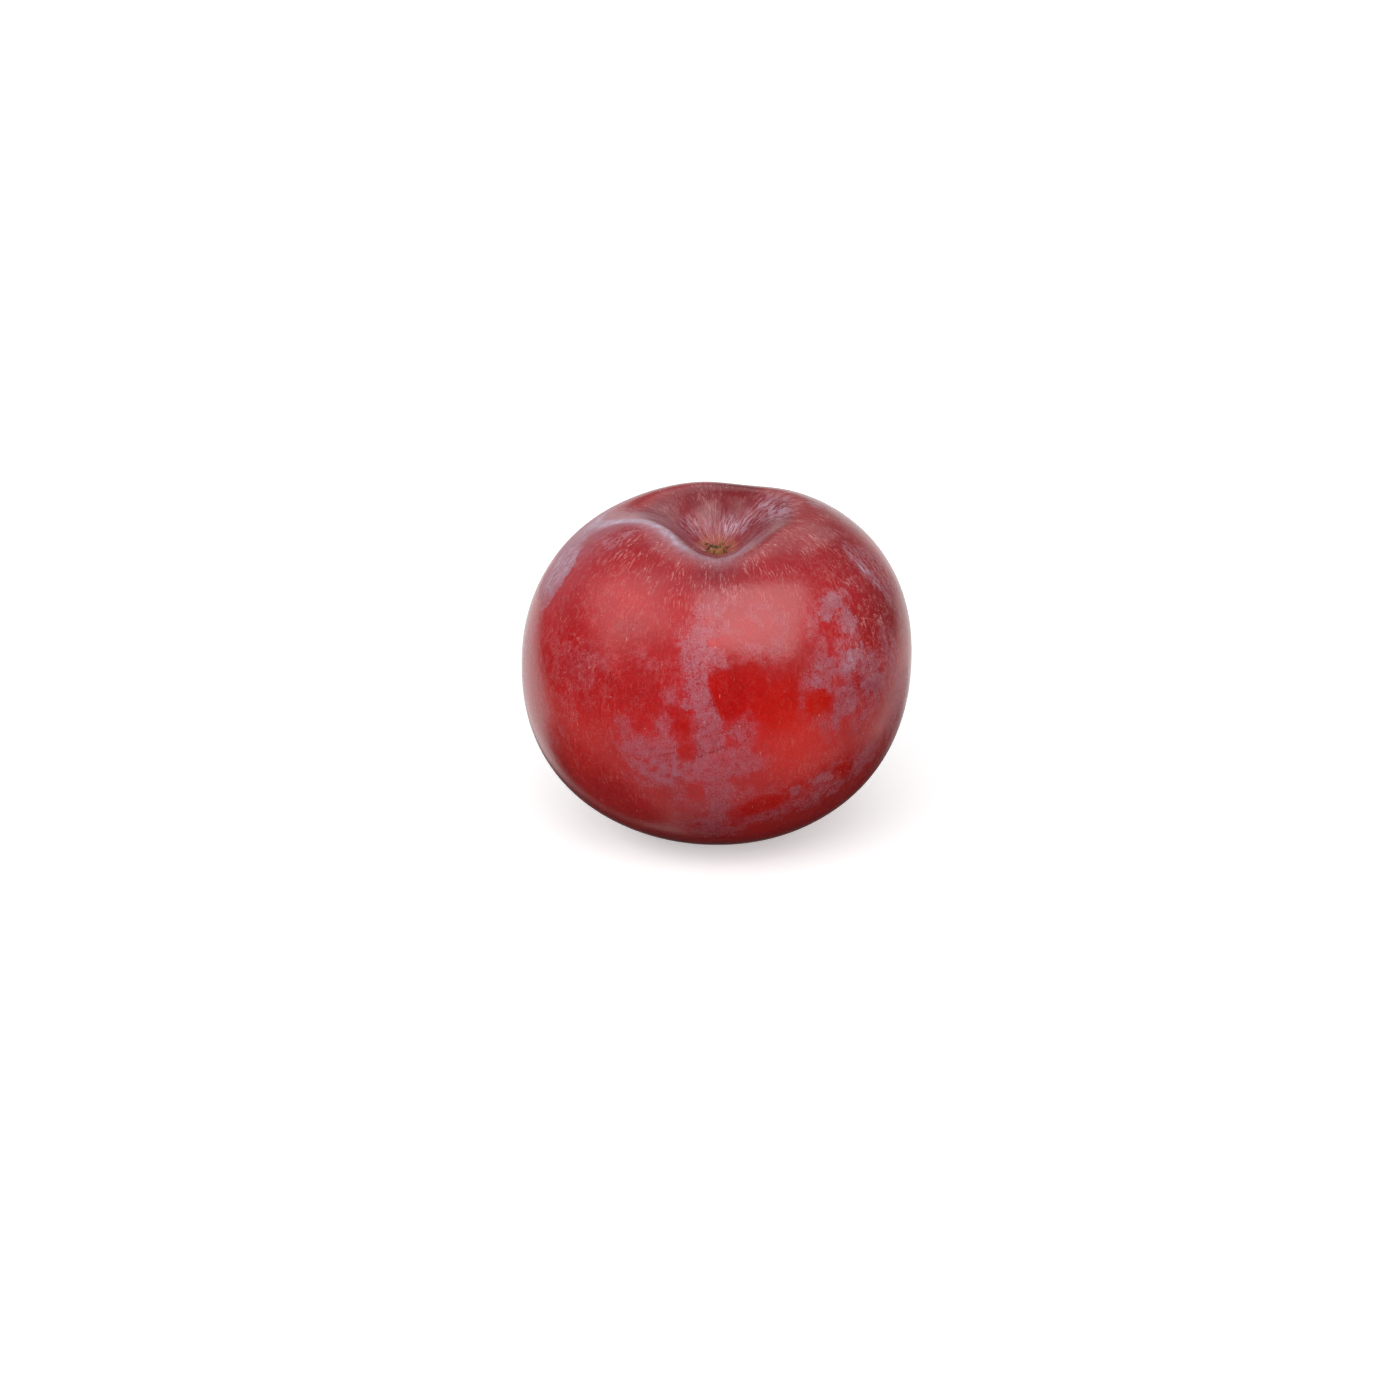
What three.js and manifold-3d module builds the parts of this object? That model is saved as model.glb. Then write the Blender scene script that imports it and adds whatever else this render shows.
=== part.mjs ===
// A red dessert plum, picked without its stalk: one fruit that grew as one piece, so one solid.
// Millimetres. +Z runs up the fruit from blossom end to stem end, the suture faces -Y, and the
// origin is under the fruit at the level of the small flat spot that it rests on.
import * as THREE from "three";
import { mergeVertices } from "three/addons/utils/BufferGeometryUtils.js";
import Module from "manifold-3d";

// The body: superellipse meridians, a little fuller than an ellipse, on an oval girth.
const HALF_WIDTH = 32; // across the two cheeks, along X
const HALF_DEPTH = 31; // suture to back, along Y
const CROWN_RISE = 29.1; // from the girth up to where the crown would close without its cavity
const BASE_DROP = 29.4; // from the girth down to where the base would close without its flat spot
const CROWN_FULLNESS = 2.22; // superellipse powers, where 2 is a plain ellipse
const BASE_FULLNESS = 2.19;
const CHEEK_SKEW = 0.024; // right cheek fuller above the girth, left cheek fuller below it
const SKEW_HEIGHT = 30; // height over which that skew builds up
const CROWN_TILT = 0.03; // how much higher the right shoulder stands than the left, as a slope

// The stem cavity: a steep funnel round the scar, sunk in a broad oval basin whose long way runs
// from cheek to cheek. The basin's lip dips over the suture and, less, at the back.
const FUNNEL = { depth: 5.85, radius: 5.9, power: 2.3, forward: 0.2 };
const BASIN = { depth: 4.2, radius: 8.3, power: 3.1, x: -1.05, y: 0.45, stretch: 1.6, turn: -15 };
const FRONT_LIP = { bearing: -88.5, depth: 4.9, halfWidth: 7.6, centre: 9.85, reach: 6.8 };
const BACK_LIP = { bearing: 68, depth: 1.4, halfWidth: 7, centre: 19.8, reach: 9 };
const CROWN_ONSET = 6; // height above the girth where cavity and lips begin to count
const CROWN_BLEND = 3; // and the height over which they set in

// The scar of the stalk: a torn-off stub with a hollow top, on a low corky mound in the cavity.
const MOUND = { height: 0.35, radius: 2.4 };
const STUB = { foot: 1.55, neck: 1.3, hollow: 0.6, height: 0.95, hollowDepth: 0.6, root: 1.2 };
const STUB_SIDES = 24;

// The suture: a fine crease in a broad shallow trough, from the cavity down to the flat spot. It is
// deepest at the crown and little more than a line below the shoulders.
const CREASE = { depth: 0.16, halfWidth: 1.1 };
const TROUGH = { depth: 0.2, halfWidth: 6.5 };
const SUTURE_FADE = 12; // distance from the fruit's axis within which the suture fades out
const SUTURE_BASE_SHARE = 0.12; // share of its depth that it still has at the base
const SUTURE_RISE = 8; // how steeply the rest of its depth sets in towards the crown

// The blossom end: a flat spot with rounded edges, and a small pit where the flower dried off.
const FLAT_SPOT = { radius: 7, rounding: 0.15 };
const TIP_PIT = { depth: 0.5, radius: 1.7 };

// The grid of faces, closer together round both ends and along the suture.
const COLUMNS = 72;
const RINGS = 48;
const END_CROWDING = 0.72; // 0 spaces the rings evenly, and near 1 packs them at the two ends
const SUTURE_CROWDING = 0.6; // the same for the columns and the suture
const WELD = 1e-3; // points closer than this are one point

const bell = (distance, width) => Math.exp(-((distance / width) ** 2));

// Height of the flat spot, where the base has narrowed to the spot's radius.
const REST_LEVEL =
  -BASE_DROP * (1 - (FLAT_SPOT.radius / HALF_WIDTH) ** BASE_FULLNESS) ** (1 / BASE_FULLNESS);

// The larger of two heights, rounded over where they cross.
function roundedMax(a, b, rounding) {
  const overlap = Math.max(rounding - Math.abs(a - b), 0);
  return Math.max(a, b) + overlap ** 2 / (4 * rounding);
}

// A point of the smooth body, measured from the middle of its girth. polar runs from 0 at the
// stem end to PI at the blossom end, and azimuth is 0 towards +X.
function bodyPoint(polar, azimuth) {
  const upper = polar < Math.PI / 2;
  const power = 2 / (upper ? CROWN_FULLNESS : BASE_FULLNESS);
  const spread = Math.abs(Math.sin(polar)) ** power;
  const right = spread * Math.cos(azimuth);
  const rise = upper ? CROWN_RISE * (1 + CROWN_TILT * right) : BASE_DROP;
  const z = rise * Math.sign(Math.cos(polar)) * Math.abs(Math.cos(polar)) ** power;
  const x = HALF_WIDTH * right * (1 + (CHEEK_SKEW * right * z) / SKEW_HEIGHT);
  return new THREE.Vector3(x, HALF_DEPTH * spread * Math.sin(azimuth), z);
}

// How deep the basin is at a place on the crown.
function basinDepth(x, y) {
  const turn = THREE.MathUtils.degToRad(BASIN.turn);
  const right = x - BASIN.x;
  const back = y - BASIN.y;
  const along = (right * Math.cos(turn) + back * Math.sin(turn)) / BASIN.stretch;
  const across = back * Math.cos(turn) - right * Math.sin(turn);
  return BASIN.depth * Math.exp(-((Math.hypot(along, across) / BASIN.radius) ** BASIN.power));
}

// How far a dip on one bearing lowers the basin's lip at a place on the crown.
function lipDrop(x, y, lip) {
  const bearing = THREE.MathUtils.degToRad(lip.bearing);
  const along = x * Math.cos(bearing) + y * Math.sin(bearing);
  const across = y * Math.cos(bearing) - x * Math.sin(bearing);
  return lip.depth * bell(across, lip.halfWidth) * bell(along - lip.centre, lip.reach);
}

// The change of height that the cavity, its lip and the corky mound make to the crown.
function crownShift({ x, y, z }) {
  const share = 1 / (1 + Math.exp(-(z - CROWN_ONSET) / CROWN_BLEND));
  const out = Math.hypot(x, y + FUNNEL.forward);
  const funnel = FUNNEL.depth * Math.exp(-((out / FUNNEL.radius) ** FUNNEL.power));
  const lips = lipDrop(x, y, FRONT_LIP) + lipDrop(x, y, BACK_LIP);
  const mound = MOUND.height * bell(Math.hypot(x, y), MOUND.radius);
  return share * (mound - funnel - basinDepth(x, y) - lips);
}

// How far the suture draws the skin in at a place on the front of the body.
function sutureDepth({ x, y, z }) {
  const high = (z + BASE_DROP) / (CROWN_RISE + BASE_DROP);
  const share = THREE.MathUtils.clamp(-y / SUTURE_FADE, 0, 1);
  const depth = CREASE.depth * bell(x, CREASE.halfWidth) + TROUGH.depth * bell(x, TROUGH.halfWidth);
  return share * depth * THREE.MathUtils.lerp(SUTURE_BASE_SHARE, 1, high ** SUTURE_RISE);
}

// A point of the fruit's skin, measured from the flat spot.
function skinPoint(polar, azimuth) {
  const point = bodyPoint(polar, azimuth);
  const girth = new THREE.Vector3(HALF_WIDTH, HALF_DEPTH, CROWN_RISE);
  const outward = point.clone().divide(girth).divide(girth).normalize();
  point.addScaledVector(outward, -sutureDepth(point));
  if (point.z > 0) {
    point.z += crownShift(point);
  } else {
    const inPit = 1 - (point.x ** 2 + point.y ** 2) / TIP_PIT.radius ** 2;
    point.z = roundedMax(point.z, REST_LEVEL, FLAT_SPOT.rounding);
    point.z += TIP_PIT.depth * Math.max(inPit, 0);
  }
  point.z -= REST_LEVEL;
  return point;
}

// A sphere's grid, crowded towards both ends and the suture, then moved out to the skin.
function skinGeometry() {
  const geometry = new THREE.SphereGeometry(1, COLUMNS, RINGS);
  const grid = geometry.getAttribute("uv");
  const places = geometry.getAttribute("position");
  for (let i = 0; i < places.count; i++) {
    const down = 2 * Math.PI * (1 - grid.getY(i));
    const round = (2 * Math.PI * Math.round(grid.getX(i) * COLUMNS)) / COLUMNS;
    const polar = (down - END_CROWDING * Math.sin(down)) / 2;
    const azimuth = round - SUTURE_CROWDING * Math.sin(round) - Math.PI / 2;
    const point = skinPoint(polar, azimuth);
    places.setXYZ(i, point.x, point.y, point.z);
  }
  return geometry;
}

// The stub turned on the fruit's axis, with its root sunk in the cavity's floor.
function stubGeometry() {
  const floor = skinPoint(0, 0).z;
  const profile = [
    [0, -STUB.root],
    [STUB.foot, -STUB.root],
    [STUB.foot, 0],
    [STUB.neck, STUB.height * 0.8],
    [(STUB.neck + STUB.hollow) / 2, STUB.height],
    [STUB.hollow, STUB.height * 0.8],
    [STUB.hollow / 2, STUB.height - STUB.hollowDepth],
    [0, STUB.height - STUB.hollowDepth],
  ];
  const points = profile.map(([out, up]) => new THREE.Vector2(out, up));
  return new THREE.LatheGeometry(points, STUB_SIDES).rotateX(Math.PI / 2).translate(0, 0, floor);
}

// One closed solid out of several geometries that overlap.
async function joined(...geometries) {
  const wasm = await Module();
  wasm.setup();
  const solids = geometries.map((geometry) => {
    geometry.deleteAttribute("normal");
    geometry.deleteAttribute("uv");
    const welded = mergeVertices(geometry, WELD);
    const vertProperties = welded.getAttribute("position").array;
    const triVerts = new Uint32Array(welded.getIndex().array);
    return new wasm.Manifold(new wasm.Mesh({ numProp: 3, vertProperties, triVerts }));
  });
  const mesh = solids.reduce((sum, solid) => sum.add(solid)).getMesh();
  const geometry = new THREE.BufferGeometry();
  geometry.setAttribute("position", new THREE.BufferAttribute(mesh.vertProperties, 3));
  geometry.setIndex(new THREE.BufferAttribute(mesh.triVerts, 1));
  return geometry;
}

const skin = new THREE.MeshStandardMaterial({ color: 0xa81a1c, roughness: 0.42, metalness: 0 });
const plum = new THREE.Mesh(await joined(skinGeometry(), stubGeometry()), skin);
plum.name = "plum";

const fruit = new THREE.Group();
fruit.add(plum);

export default fruit;
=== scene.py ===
# A ripe red plum with its waxy bloom, picked without its stalk, on a white studio floor.
# Metres, +Z up from the flat spot it rests on, and the suture faces -Y. Sizes in the
# dictionaries are millimetres and degrees. A bearing is 0 at the suture and grows towards +X.
from functools import partial
import bpy
import numpy as np
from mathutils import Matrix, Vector


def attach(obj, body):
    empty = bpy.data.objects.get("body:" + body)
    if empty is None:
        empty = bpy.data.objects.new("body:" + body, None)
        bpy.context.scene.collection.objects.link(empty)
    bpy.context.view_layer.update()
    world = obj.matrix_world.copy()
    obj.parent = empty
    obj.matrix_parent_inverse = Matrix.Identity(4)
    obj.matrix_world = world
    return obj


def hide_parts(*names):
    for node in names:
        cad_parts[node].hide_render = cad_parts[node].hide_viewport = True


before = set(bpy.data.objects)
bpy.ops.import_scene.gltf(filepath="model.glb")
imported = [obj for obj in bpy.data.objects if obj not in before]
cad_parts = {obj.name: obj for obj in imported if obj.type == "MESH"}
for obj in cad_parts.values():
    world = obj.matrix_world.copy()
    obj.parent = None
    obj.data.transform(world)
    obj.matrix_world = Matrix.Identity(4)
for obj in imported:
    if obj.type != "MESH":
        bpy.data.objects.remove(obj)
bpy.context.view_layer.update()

mm = 0.001
ruledOut = 1e4  # mm squared, added to a squared distance so that a point isn't the nearest


def linearColour(hexCode):  # sRGB to linear: c/12.92 when dark, else ((c + 0.055)/1.055)^2.4
    parts = [int(hexCode[i:i + 2], 16) / 255 for i in (0, 2, 4)]
    return [p / 12.92 if p <= 0.04045 else ((p + 0.055) / 1.055) ** 2.4 for p in parts] + [1]


def bell(distance, width):  # e to the power of minus (distance / width) squared
    return np.exp(-(distance / width) ** 2)


def smoothStep(value, low, high):  # 0 up to low, 1 from high on, 3t^2 - 2t^3 between
    t = np.clip((value - low) / (high - low), 0, 1)
    return t * t * (3 - 2 * t)


def addNode(tree, kind, links=(), operation=None, stops=None, **settings):
    # One shader node with its settings and links. Links go by their sockets' order or by name,
    # and a setting with a capital is a link too. A link is a plain value, a socket, or a node's
    # first live output. Stops are (place, colour), from low to high, for a colour ramp.
    node = tree.nodes.new("ShaderNode" + kind)
    links = dict(links if isinstance(links, dict) else enumerate(links))
    if operation:
        node.operation = operation
    for name, value in settings.items():
        if name[0].isupper():
            links[name] = value
        else:
            setattr(node, name, value)
    for name, value in links.items():
        if isinstance(name, int):
            socket = node.inputs[name]
        else:
            socket = next(s for s in node.inputs if s.name == name and s.enabled)
        if isinstance(value, bpy.types.Node):
            value = next(s for s in value.outputs if s.enabled)
        if isinstance(value, bpy.types.NodeSocket):
            tree.links.new(value, socket)
        else:
            socket.default_value = value
    if stops:
        points = node.color_ramp.elements
        points[0].position, points[0].color = stops[0]
        points[-1].position, points[-1].color = stops[-1]
        for place, colour in stops[1:-1]:
            points.new(place).color = colour
    return node


def emptied(owner):  # a material or a world without its nodes, and addNode for its node tree
    owner.use_nodes = True
    owner.node_tree.nodes.clear()
    return owner, partial(addNode, owner.node_tree)


def closedSkin(name, grids):
    # Closed skins, all of one size: each is rows by columns of points in mm. The columns go round,
    # and the first and last rows are one point each: quads between the rings, triangles round
    # both poles.
    count, rows, columns = grids.shape[:3]
    rings = grids[:, 1:-1].reshape(count, -1, 3)
    points = np.concatenate([grids[:, 0, :1], rings, grids[:, -1, :1]], axis=1)
    each = points.shape[1]
    first = 1 + np.arange(rows - 3)[:, None] * columns
    last = 1 + (rows - 3) * columns
    here = np.arange(columns)
    beside = (here + 1) % columns
    below = first + columns
    quads = np.stack([first + here, below + here, below + beside, first + beside], axis=-1)
    capTop = np.stack([0 * here, 1 + here, 1 + beside], axis=-1)
    capBase = np.stack([0 * here + each - 1, last + beside, last + here], axis=-1)
    faces = []
    for corners in (quads.reshape(-1, 4), capTop, capBase):
        offset = each * np.arange(count)[:, None, None]
        faces += (offset + corners).reshape(-1, corners.shape[1]).tolist()
    mesh = bpy.data.meshes.new(name)
    mesh.from_pydata((points.reshape(-1, 3) * mm).tolist(), [], faces)
    mesh.polygons.foreach_set("use_smooth", np.ones(len(mesh.polygons), dtype=bool))
    mesh.update()
    piece = bpy.data.objects.new(name, mesh)
    bpy.context.scene.collection.objects.link(piece)
    return piece


def addAttribute(piece, name, values):
    # one number, or one xyz, for each point of a closed skin's grid
    rings = values[1:-1].reshape(-1, *values.shape[2:])
    perPoint = np.concatenate([values[:1, 0], rings, values[-1:, 0]]).astype(np.float32)
    if perPoint.ndim == 1:
        attribute = piece.data.attributes.new(name, "FLOAT", "POINT")
        attribute.data.foreach_set("value", perPoint)
    else:
        attribute = piece.data.attributes.new(name, "FLOAT_VECTOR", "POINT")
        attribute.data.foreach_set("vector", perPoint.ravel())


def facing(grid):  # outward unit normals: the cross product of the two grid directions
    alongRow = np.roll(grid, -1, axis=1) - np.roll(grid, 1, axis=1)
    downColumn = np.gradient(grid, axis=0)
    normal = np.cross(downColumn, alongRow)
    normal[0], normal[-1] = (0, 0, 1), (0, 0, -1)
    return normal / np.maximum(np.linalg.norm(normal, axis=-1, keepdims=True), 1e-9)


# The plum's skin: its shape.
plum = {
    "columns": 420, "rows": 232,
    "endCrowding": 0.72, "sutureCrowding": 0.6,  # rows and columns lie closer there
    "halfWidth": 32, "halfDepth": 31, "crownRise": 29.1, "baseDrop": 29.4,
    "crownFullness": 2.22, "baseFullness": 2.19,  # superellipse powers, 2 is an ellipse
    "cheekSkew": 0.024, "skewHeight": 30, "crownTilt": 0.03,
    "funnelDepth": 5.85, "funnelRadius": 5.9, "funnelPower": 2.3, "funnelForward": 0.2,
    "basinDepth": 4.2, "basinRadius": 8.3, "basinPower": 3.1,
    "basinX": -1.05, "basinY": 0.45, "basinStretch": 1.6, "basinTurn": -15,
    # low places in the cavity's lip: (way, depth, half width, distance from the axis, reach),
    # where the way is counted from +X
    "lips": [(-88.5, 4.9, 7.6, 9.85, 6.8), (68, 1.4, 7, 19.8, 9)],
    "crownOnset": 6, "crownBlend": 3,
    "moundHeight": 0.35, "moundRadius": 2.4,
    "creaseDepth": 0.16, "creaseHalfWidth": 1.1, "troughDepth": 0.2, "troughHalfWidth": 6.5,
    "sutureFade": 12, "sutureBaseShare": 0.12, "sutureRise": 8,
    "flatRadius": 7, "flatRounding": 0.15, "pitDepth": 0.5, "pitRadius": 1.7,
    # the skin's slow waves, so that highlights wander a little: (axis, length, axis that bends
    # them, its length, bend, start), where axes 0, 1 and 2 are x, y and z. They fade towards the
    # flat spot and the cavity.
    "waveDepth": 0.12, "waveHeights": (0.5, 6), "waveCrest": (-2, 6),
    "waves": [(0, 4.1, 2, 6.3, 0.6, 0), (2, 5.2, 1, 4.7, 1, 1), (1, 4.9, 0, 5.8, 0.8, 2)],
    # the thin line down the suture, and where it sets in, forward and up
    "hairlineDepth": 0.012, "hairlineHalfWidth": 0.3, "hairlineFront": (4, 12),
    "hairlineHeights": (1, 6),
    # folds round the cavity's wall: how many go round, and how far below the crest, from the
    # stem end and from the axis they set in and end
    "foldDepth": 0.08, "foldCounts": (19, 26, 31, 37, 45), "foldStart": 1.7, "foldBend": 0.5,
    "foldBendLength": 2.3, "foldLift": 0.1, "foldPower": 1.5, "foldBelowCrest": (0.5, 4),
    "foldFromStem": (1.6, 3.2), "foldFromAxis": (5, 7.5),
    "inset": 0.01, "insetHeights": (0, 3),  # keeps the fine mesh inside the coarser solid's box
}


def bodyGrid(v):
    # Superellipse meridians on an oval girth, measured from the middle of the girth. polar runs
    # from 0 at the stem end to pi at the blossom end, azimuth is 0 towards +X.
    down = np.linspace(0, 2 * np.pi, v["rows"])[:, None]
    turn = 2 * np.pi * np.arange(v["columns"])[None, :] / v["columns"]
    polar = (down - v["endCrowding"] * np.sin(down)) / 2
    azimuth = turn - v["sutureCrowding"] * np.sin(turn) - np.pi / 2
    upper = polar < np.pi / 2
    power = 2 / np.where(upper, v["crownFullness"], v["baseFullness"])
    spread = np.abs(np.sin(polar)) ** power
    spread[0] = spread[-1] = 0
    right = spread * np.cos(azimuth)
    rise = np.where(upper, v["crownRise"] * (1 + v["crownTilt"] * right), v["baseDrop"])
    z = rise * np.sign(np.cos(polar)) * np.abs(np.cos(polar)) ** power
    x = v["halfWidth"] * right * (1 + v["cheekSkew"] * right * z / v["skewHeight"])
    y = v["halfDepth"] * spread * np.sin(azimuth)
    return x, y, z


def sutureDepth(v, x, y, z):
    # a fine crease in a broad trough: two bells across x. Their share of the full depth grows
    # from the base's to 1 at the crown by a power of the height.
    high = (z + v["baseDrop"]) / (v["crownRise"] + v["baseDrop"])
    share = np.clip(-y / v["sutureFade"], 0, 1)
    depth = v["creaseDepth"] * bell(x, v["creaseHalfWidth"])
    depth = depth + v["troughDepth"] * bell(x, v["troughHalfWidth"])
    return share * depth * (v["sutureBaseShare"] + (1 - v["sutureBaseShare"]) * high ** v["sutureRise"])


def crownShift(v, x, y, z):
    # A steep funnel in an oval basin, each depth times e^-(distance/radius)^power, and two lower
    # places in the basin's lip sink the crown. The corky mound lifts its floor.
    share = 1 / (1 + np.exp(-(z - v["crownOnset"]) / v["crownBlend"]))
    out = np.hypot(x, y + v["funnelForward"])
    shift = v["moundHeight"] * bell(np.hypot(x, y), v["moundRadius"])
    shift = shift - v["funnelDepth"] * np.exp(-(out / v["funnelRadius"]) ** v["funnelPower"])
    turn, right, back = np.radians(v["basinTurn"]), x - v["basinX"], y - v["basinY"]
    along = (right * np.cos(turn) + back * np.sin(turn)) / v["basinStretch"]
    across = back * np.cos(turn) - right * np.sin(turn)
    out = np.hypot(along, across) / v["basinRadius"]
    shift = shift - v["basinDepth"] * np.exp(-out ** v["basinPower"])
    for way, depth, halfWidth, centre, reach in v["lips"]:
        turn = np.radians(way)
        along = x * np.cos(turn) + y * np.sin(turn)
        across = y * np.cos(turn) - x * np.sin(turn)
        shift = shift - depth * bell(across, halfWidth) * bell(along - centre, reach)
    return share * shift


def roundedMax(a, b, rounding):  # the larger of two heights, rounded over where they cross
    overlap = np.maximum(rounding - np.abs(a - b), 0)
    return np.maximum(a, b) + overlap ** 2 / (4 * rounding)


def plumGrid(v):
    # the solid's own surface: body, suture, then the crown above and the flat spot below
    x, y, z = bodyGrid(v)
    girth = np.array([v["halfWidth"], v["halfDepth"], v["crownRise"]])
    points = np.stack([x + 0 * z, y + 0 * z, z + 0 * x], axis=-1)
    outward = points / girth ** 2
    outward /= np.maximum(np.linalg.norm(outward, axis=-1, keepdims=True), 1e-9)
    points = points - outward * sutureDepth(v, *np.moveaxis(points, -1, 0))[..., None]
    x, y, z = np.moveaxis(points, -1, 0)
    narrow = 1 - (v["flatRadius"] / v["halfWidth"]) ** v["baseFullness"]
    restLevel = -v["baseDrop"] * narrow ** (1 / v["baseFullness"])
    below = roundedMax(z, restLevel, v["flatRounding"])
    below = below + v["pitDepth"] * np.maximum(1 - (x * x + y * y) / v["pitRadius"] ** 2, 0)
    z = np.where(z > 0, z + crownShift(v, x, y, z), below) - restLevel
    return np.stack([x, y, z], axis=-1)


def meridians(grid):
    # the length of skin from the stem end down to each point, and the same from the cavity's crest
    steps = np.linalg.norm(np.diff(grid, axis=0), axis=-1)
    fromStem = np.concatenate([np.zeros((1, grid.shape[1])), np.cumsum(steps, axis=0)])
    crest = fromStem[np.argmax(grid[..., 2], axis=0), np.arange(grid.shape[1])]
    return fromStem, fromStem - crest


def fineRelief(v, grid, bearing, fromStem, fromCrest):
    # Everything here sinks the skin. Slow waves: a sum of sines of place. Hairline: a bell across
    # x. Cavity folds: the mean of cosines of the bearing, lifted, cut off below zero and raised to
    # a power.
    x, y, z = np.moveaxis(grid, -1, 0)
    waves = 0
    for axis, length, side, sideLength, bend, start in v["waves"]:
        sway = bend * np.sin(grid[..., side] / sideLength)
        waves = waves + np.sin(grid[..., axis] / length + sway + start)
    quiet = smoothStep(z, *v["waveHeights"]) * smoothStep(fromCrest, *v["waveCrest"])
    sink = v["waveDepth"] * (0.5 - waves / (2 * len(v["waves"]))) * quiet
    front = smoothStep(-y, *v["hairlineFront"]) * smoothStep(z, *v["hairlineHeights"])
    sink = sink + v["hairlineDepth"] * bell(x, v["hairlineHalfWidth"]) * front
    folds = 0
    for place, count in enumerate(v["foldCounts"]):
        bend = v["foldBend"] * np.sin(fromStem / v["foldBendLength"] + place)
        folds = folds + np.cos(count * bearing + v["foldStart"] * place * place + bend)
    folds = np.maximum(folds / len(v["foldCounts"]) + v["foldLift"], 0) ** v["foldPower"]
    wall = smoothStep(-fromCrest, *v["foldBelowCrest"]) * smoothStep(fromStem, *v["foldFromStem"])
    wall = wall * (1 - smoothStep(np.hypot(x, y), *v["foldFromAxis"]))
    sink = sink + v["foldDepth"] * folds * wall
    return sink + v["inset"] * smoothStep(z, *v["insetHeights"])


plumSurface = plumGrid(plum)
plumFacing = facing(plumSurface)
bearingRound = np.arctan2(plumSurface[..., 0], -plumSurface[..., 1])
bearingRound[0], bearingRound[-1] = bearingRound[1], bearingRound[-2]
fromStem, fromCrest = meridians(plumSurface)
sink = fineRelief(plum, plumSurface, bearingRound, fromStem, fromCrest)
sink[0] = sink[0].mean()
sink[-1] = 0
plumPoints = plumSurface - plumFacing * sink[..., None]
plumPoints[..., 2] = np.maximum(plumPoints[..., 2], 0)
skinPiece = closedSkin("plum_skin", plumPoints[None])
print("plum skin:", len(skinPiece.data.vertices), "points")


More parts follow.
